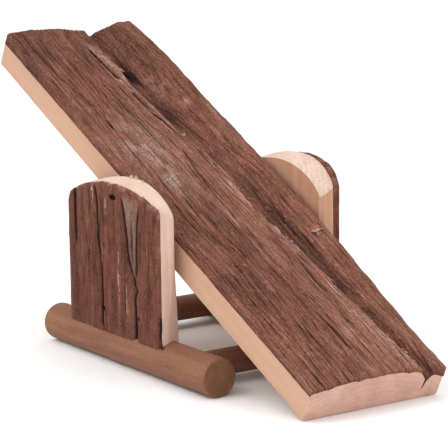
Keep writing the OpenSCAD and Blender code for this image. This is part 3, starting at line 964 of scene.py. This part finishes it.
class Shader:
    """A material's nodes, with short calls for the few kinds that are used here."""

    def __init__(self, name, roughness, specular=0.3):
        self.material = bpy.data.materials.new(name)
        self.material.use_nodes = True
        self.nodes = self.material.node_tree.nodes
        self.links = self.material.node_tree.links
        self.surface = self.nodes["Principled BSDF"]
        self.surface.inputs["Roughness"].default_value = roughness
        self.surface.inputs["Specular IOR Level"].default_value = specular

    def add(self, kind, inputs, **settings):
        node = self.nodes.new(kind)
        for key, value in settings.items():
            setattr(node, key, value)
        for key, value in inputs.items():
            if isinstance(value, bpy.types.NodeSocket):
                self.links.new(value, node.inputs[key])
            else:
                node.inputs[key].default_value = value
        return node

    def place(self, scale=(1, 1, 1)):
        """The piece's own coordinates in millimetres, scaled."""
        coordinates = self.add("ShaderNodeTexCoord", {}).outputs["Object"]
        inputs = {"Vector": coordinates, "Scale": [s / MM for s in scale]}
        return self.add("ShaderNodeMapping", inputs).outputs[0]

    def stretched(self, axis, along, across):
        """Coordinates in units of so many millimetres along an axis and so many across it."""
        scale = [1 / across] * 3
        scale[axis] = 1 / along
        return self.place(scale)

    def noise(self, vector, detail=3.0, roughness=0.55):
        inputs = {"Vector": vector, "Scale": 1.0, "Detail": detail, "Roughness": roughness}
        return self.add("ShaderNodeTexNoise", inputs).outputs["Fac"]

    def flakes(self, vector):
        """Random tones of ragged patches that are about as large as the vector's unit."""
        inputs = {"Vector": vector, "Scale": 1.7, "Detail": 4.0}
        warp = self.add("ShaderNodeTexNoise", inputs).outputs["Color"]
        bent = self.add("ShaderNodeVectorMath", {0: vector, 1: warp}, operation="ADD").outputs[0]
        return self.add("ShaderNodeTexVoronoi", {"Vector": bent, "Scale": 1.0}).outputs["Color"]

    def math(self, operation, a, b=0.0):
        return self.add("ShaderNodeMath", {0: a, 1: b}, operation=operation).outputs[0]

    def total(self, *values):
        total = values[0]
        for value in values[1:]:
            total = self.math("ADD", total, value)
        return total

    def scaled(self, value, factor, offset=0.0, clamp=False):
        settings = {"operation": "MULTIPLY_ADD", "use_clamp": clamp}
        return self.add("ShaderNodeMath", {0: value, 1: factor, 2: offset}, **settings).outputs[0]

    def mark(self, name):
        return self.add("ShaderNodeAttribute", {}, attribute_name=name).outputs["Fac"]

    def rings(self, axes, centre, size, warp):
        """Growth rings from 0 to 1 about a centre on two axes, with warp added to their phase."""
        parts = self.add("ShaderNodeSeparateXYZ", {"Vector": self.place()}).outputs
        away = [self.math("SUBTRACT", parts[axis], middle) for axis, middle in zip(axes, centre)]
        radius = self.math("SQRT", self.total(*(self.math("MULTIPLY", d, d) for d in away)))
        phase = self.math("ADD", self.scaled(radius, math.tau / size), warp)
        return self.scaled(self.math("SINE", phase), 0.5, 0.5)

    def ramp(self, value, stops):
        """A colour along (place, colour) stops, with each colour as 0-255 numbers."""
        node = self.add("ShaderNodeValToRGB", {"Fac": value})
        elements = node.color_ramp.elements
        while len(elements) < len(stops):
            elements.new(0.5)
        for element, (place, colour) in zip(elements, stops):
            element.position, element.color = place, linear(colour)
        return node.outputs["Color"]

    def blend(self, share, a, b, kind="MIX"):
        settings = {"data_type": "RGBA", "blend_type": kind}
        return self.add("ShaderNodeMix", {0: share, 6: a, 7: b}, **settings).outputs[2]

    def finish(self, colour, height=None, distance=0.1, strength=1.0, roughness=None):
        self.links.new(colour, self.surface.inputs["Base Color"])
        if height is not None:
            inputs = {"Height": height, "Strength": strength, "Distance": distance * MM}
            bump = self.add("ShaderNodeBump", inputs)
            self.links.new(bump.outputs[0], self.surface.inputs["Normal"])
        if roughness is not None:
            self.links.new(roughness, self.surface.inputs["Roughness"])
        return self.material


def linear(colour):
    """A colour's 0-255 sRGB numbers as the linear values that a shader takes."""
    parts = [c / 255 for c in colour]
    return tuple(c / 12.92 if c <= 0.04045 else ((c + 0.055) / 1.055) ** 2.4 for c in parts) + (1.0,)


# Colour stops: fresh bark by its tone, its hue in patches, and worn bark by its tone.
BARK_STOPS = (
    (0.0, (44, 25, 18)), (0.2, (82, 50, 38)), (0.42, (124, 84, 68)),
    (0.62, (152, 110, 94)), (0.85, (192, 160, 146)), (1.0, (216, 194, 182)))
HUE_STOPS = ((0.34, (255, 241, 225)), (0.5, (255, 228, 222)), (0.66, (253, 202, 204)))
WORN_STOPS = ((0.1, (84, 62, 52)), (0.45, (134, 108, 96)), (0.7, (168, 142, 130)), (1.0, (206, 184, 172)))


def bark_material(name, axis, shade=(1, 1, 1), reach=1.0):
    """Fibrous bark with its grain along an axis: painted shade in its crevices, cracks, holes and pit, and
    grey where it is worn.

    shade tints it, and reach is how long its fibres look.
    """
    s = Shader(name, 0.85, 0.2)

    def shaded(colour):
        return [k * c for k, c in zip(shade, colour)]

    def noise(along, across, detail, roughness=0.55):
        return s.noise(s.stretched(axis, along * reach, across), detail, roughness)

    streak = noise(34, 2.6, 3)
    patch = noise(16, 6, 2)
    fibre = noise(10, 0.42, 4, 0.7)
    line = noise(30, 0.5, 2)
    speck = noise(1.2, 0.55, 4, 0.75)
    dot = noise(0.9, 0.5, 2)
    flake = s.flakes(s.stretched(axis, 11 * reach, 2.6))
    # Painted shade in crevices, cracks, holes and the pit, as a mark on the mesh.
    crevice = s.mark("crevice")

    tone = s.total(
        s.scaled(s.mark("tone"), 0.3, 0.5), s.scaled(flake, 0.18, -0.09), s.scaled(streak, 0.4, -0.2),
        s.scaled(fibre, 0.75, -0.375), s.scaled(speck, 1.0, -0.5), s.scaled(crevice, -0.2))
    colour = s.ramp(tone, [(at, shaded(rgb)) for at, rgb in BARK_STOPS])
    hue = s.total(s.scaled(patch, 0.7), s.scaled(flake, 0.3))
    colour = s.blend(0.6, colour, s.ramp(hue, HUE_STOPS), "MULTIPLY")
    colour = s.blend(s.scaled(s.mark("wear"), 0.45), colour, s.ramp(tone, WORN_STOPS))
    scuff = s.math("MULTIPLY", s.mark("scuff"), s.scaled(dot, 9.0, -4.7, clamp=True))
    colour = s.blend(s.scaled(scuff, 0.55), colour, linear((214, 190, 178)))
    dots = s.math("MULTIPLY", s.scaled(dot, 9.0, -5.3, clamp=True), s.scaled(patch, 4.0, -1.7, clamp=True))
    colour = s.blend(s.scaled(dots, 0.5), colour, linear(shaded((196, 160, 146))))
    lines = s.scaled(line, -10.0, 4.0, clamp=True)
    colour = s.blend(s.scaled(lines, 0.35), colour, linear((70, 38, 30)))
    # Painted shade: darker in crevices, near black in deep cracks, holes and the pit.
    colour = s.blend(s.scaled(crevice, 1.1, -0.4, clamp=True), colour, linear((50, 25, 18)))
    colour = s.blend(s.scaled(crevice, 2.0, -1.9, clamp=True), colour, linear((14, 8, 6)))
    height = s.total(fibre, s.scaled(speck, 1.2), s.scaled(lines, -0.5))
    return s.finish(colour, height, 0.42, 1.0, s.scaled(fibre, 0.3, 0.68))


def sawn_wood(name, axis, ring_centre, stops, ring_size=1.5, ring_depth=0.08):
    """Sawn pale wood with growth rings about a line along the grain, and fine saw marks."""
    s = Shader(name, 0.62, 0.35)
    warp = s.scaled(s.noise(s.stretched(axis, 70, 14), 2), 14.0)
    ring = s.rings([k for k in range(3) if k != axis], ring_centre, ring_size, warp)
    ring = s.math("POWER", ring, 2.0)
    fine = s.noise(s.stretched(axis, 9, 0.35), 4, 0.65)
    broad = s.noise(s.stretched(axis, 60, 5), 2)
    saw = s.noise(s.stretched(axis, 0.5, 3), 1)
    value = s.total(s.scaled(ring, ring_depth, 0.24), s.scaled(fine, 0.26), s.scaled(broad, 0.3, -0.05))
    height = s.total(s.scaled(fine, 0.8), s.scaled(saw, 0.35))
    return s.finish(s.ramp(value, stops), height, 0.08, 0.6, s.scaled(fine, 0.25, 0.5))


def end_grain(name, ring_axes, ring_centre, stops, ring_size=1.4, ring_depth=0.2):
    """Wood cut across its grain: growth rings, open pores and the saw's roughness."""
    s = Shader(name, 0.8, 0.2)
    warp = s.scaled(s.noise(s.place([0.12] * 3)), 9.0)
    ring = s.rings(ring_axes, ring_centre, ring_size, warp)
    pore = s.noise(s.place([2.2] * 3), 3, 0.75)
    stain = s.noise(s.place([0.16] * 3))
    tint = s.noise(s.place([0.7] * 3), 4, 0.7)
    fleck = s.noise(s.place([1.8] * 3), 2, 0.6)
    value = s.total(s.scaled(ring, ring_depth, 0.1), s.scaled(pore, 0.55), s.scaled(stain, 0.5, -0.1))
    tint = s.ramp(tint, ((0.35, (255, 250, 238)), (0.65, (255, 240, 242))))
    colour = s.blend(0.8, s.ramp(value, stops), tint, "MULTIPLY")
    fleck = s.scaled(s.scaled(fleck, 9.0, -5.2, clamp=True), 0.4)
    colour = s.blend(fleck, colour, linear((146, 102, 96)))
    return s.finish(colour, pore, 0.25, 0.8, s.scaled(pore, 0.2, 0.65))


def branch_wood(name, stops):
    """A smooth peeled branch, with fine grain along X and faint darker flecks."""
    s = Shader(name, 0.6, 0.3)
    fine = s.noise(s.stretched(0, 12, 0.5), 4, 0.65)
    broad = s.noise(s.stretched(0, 40, 4))
    fleck = s.noise(s.stretched(0, 2, 0.7))
    pore = s.noise(s.place((0.9, 2.0, 2.0)), 4, 0.75)
    value = s.total(s.scaled(fine, 0.45), s.scaled(broad, 0.6, -0.2), s.scaled(pore, 0.75, -0.2))
    dark = s.scaled(s.scaled(fleck, 5.0, -3.3, clamp=True), 0.5)
    colour = s.blend(dark, s.ramp(value, stops), linear((96, 62, 46)))
    return s.finish(colour, fine, 0.1, 0.6, s.scaled(fine, 0.3, 0.45))


def nail_steel():
    """Dull steel, dark and a little rusty in places."""
    s = Shader("nail_steel", 0.45, 0.5)
    s.surface.inputs["Metallic"].default_value = 0.8
    stain = s.noise(s.place([0.9] * 3), 4)
    colour = s.ramp(stain, ((0.35, (120, 116, 112)), (0.55, (92, 86, 82)), (0.7, (96, 64, 46))))
    return s.finish(colour, stain, 0.05, 0.5, s.scaled(stain, 0.5, 0.2))


# ---- The seesaw

def make_board():
    place = board_place()
    bark = bark_material("board_bark", 0)
    pale = ((0.15, (150, 106, 82)), (0.35, (184, 142, 116)), (0.55, (196, 156, 130)), (0.8, (208, 174, 150)))
    pink = ((0.15, (148, 108, 98)), (0.4, (192, 153, 138)), (0.6, (210, 175, 160)), (0.85, (224, 198, 187)))
    wood = sawn_wood("board_sawn_wood", 0, (-6, -77), pale, ring_depth=0.03)
    ends = end_grain("board_end_grain", (1, 2), (-2, -40), pink, 2.2, 0.06)
    board_wood(place, wood, ends)
    bark_skin(place, bark)
    board_splinters(place, bark)


def make_plates(steel):
    bark = bark_material("plate_bark", 2, (0.84, 0.77, 0.74), 0.35)
    pale = ((0.15, (176, 136, 118)), (0.35, (208, 172, 154)), (0.55, (220, 188, 172)), (0.8, (230, 202, 190)))
    tan = ((0.15, (150, 98, 70)), (0.35, (184, 134, 106)), (0.55, (196, 148, 120)), (0.8, (212, 170, 144)))
    white = ((0.15, (170, 138, 122)), (0.4, (208, 182, 166)), (0.6, (218, 196, 182)), (0.85, (228, 212, 200)))
    sides = (
        ("right_plate", -1, RIGHT_OUTLINES, RIGHT_BARK, RIGHT_CRACKS, pale, 120),
        ("left_plate", 1, LEFT_OUTLINES, LEFT_BARK, LEFT_CRACKS, tan, 160))
    for name, side, outlines, look, cracks, colours, seed in sides:
        plate = Plate(name, side, outlines, look)
        centre = (pivot.x, side * (plate.joint - 45))
        wood = sawn_wood(name + "_sawn_wood", 2, centre, colours, 2.2)
        top = end_grain(name + "_end_grain", (0, 1), centre, white, 1.8, 0.14)
        plate_wood(plate, wood, top)
        plate_bark(plate, cracks, seed, bark)
        plate_nails(plate, steel)
        if side < 0:
            plate_whiskers(plate, wood)
            plate_sliver(plate, bark)


def make_base():
    warm = ((0.25, (108, 66, 46)), (0.5, (132, 86, 62)), (0.75, (152, 106, 80)))
    dark = ((0.25, (98, 61, 44)), (0.5, (121, 80, 59)), (0.75, (142, 98, 76)))
    cut = ((0.15, (74, 50, 34)), (0.4, (100, 70, 48)), (0.6, (116, 84, 60)), (0.85, (140, 108, 82)))
    rail = branch_wood("rail_wood", warm)
    cross = branch_wood("crossbar_wood", dark)
    rail_end = end_grain("rail_end_grain", (1, 2), (9, -14), cut, 1.6, 0.03)
    for k, node in enumerate(("right_rail", "left_rail")):
        bar(node, 0, "rail_wood", [rail, rail_end], 0.9, 210 + k)
    for k, node in enumerate(("front_crossbar", "rear_crossbar")):
        bar(node, 1, "crossbar_wood", [cross, rail_end], 0.5, 220 + k)


FLOOR_HALF = 8000.0
# The lamps' names, places in metres, widths and powers, and the point they are aimed at.
LAMPS = (
    ("key", (-0.2, -1.0, 1.1), 0.9, 6.0), ("fill", (1.1, -0.5, 0.7), 0.8, 2.0),
    ("top", (0.0, 0.3, 1.5), 1.2, 3.0))
LAMP_TARGET = Vector((0, 0, 0.05))
# The camera's place in metres, its azimuth, elevation and roll in degrees, and its lens.
CAMERA_PLACE = Vector((0.62087, -0.41331, 0.18752))
CAMERA_ANGLES = (55.91, 10.65, -0.78)
CAMERA_LENS = 169.04


def link(name, data):
    """Puts a new object with this data in the scene."""
    obj = bpy.data.objects.new(name, data)
    bpy.context.scene.collection.objects.link(obj)
    return obj


def make_floor():
    """A wide pale floor."""
    corners = [(x * FLOOR_HALF, y * FLOOR_HALF, 0) for x, y in ((-1, -1), (1, -1), (1, 1), (-1, 1))]
    floor = make_object("floor", (corners, [(0, 1, 2, 3)]))
    s = Shader("floor", 0.9, 0.1)
    pale = s.ramp(s.noise(s.place([0.01] * 3)), ((0, (246, 246, 246)), (1, (250, 250, 250))))
    floor.data.materials.append(s.finish(pale))


def make_light():
    """An even white sky and soft lamps."""
    world = bpy.data.worlds.new("studio")
    world.use_nodes = True
    world.node_tree.nodes["Background"].inputs["Color"].default_value = (1, 1, 1, 1)
    world.node_tree.nodes["Background"].inputs["Strength"].default_value = 1.0
    bpy.context.scene.world = world
    for name, place, width, power in LAMPS:
        lamp = bpy.data.lights.new(name, "AREA")
        lamp.shape = "DISK"
        lamp.size = width
        lamp.energy = power
        obj = link(name, lamp)
        obj.location = place
        obj.rotation_euler = (LAMP_TARGET - Vector(place)).to_track_quat("-Z", "Y").to_euler()


def make_camera():
    """A long lens from the front right, a little above the board."""
    azimuth, elevation, roll = (math.radians(a) for a in CAMERA_ANGLES)
    flat = math.cos(elevation)
    back = Vector((math.sin(azimuth) * flat, -math.cos(azimuth) * flat, math.sin(elevation)))
    level = (-back).cross(UP).normalized()
    tall = level.cross(-back)
    right = level * math.cos(roll) + tall * math.sin(roll)
    up = tall * math.cos(roll) - level * math.sin(roll)
    data = bpy.data.cameras.new("camera")
    data.sensor_width = 36.0
    data.lens = CAMERA_LENS
    data.clip_start = 0.05
    data.clip_end = 30.0
    camera = link("camera", data)
    place = Matrix((right, up, back)).transposed().to_4x4()
    place.translation = CAMERA_PLACE
    camera.matrix_world = place
    bpy.context.scene.camera = camera


steel = nail_steel()
make_board()
make_plates(steel)
make_base()
for nail_side in (-1, 1):
    pivot_nail(nail_side, steel)
make_floor()
make_light()
make_camera()
bpy.context.scene.view_settings.view_transform = "Standard"
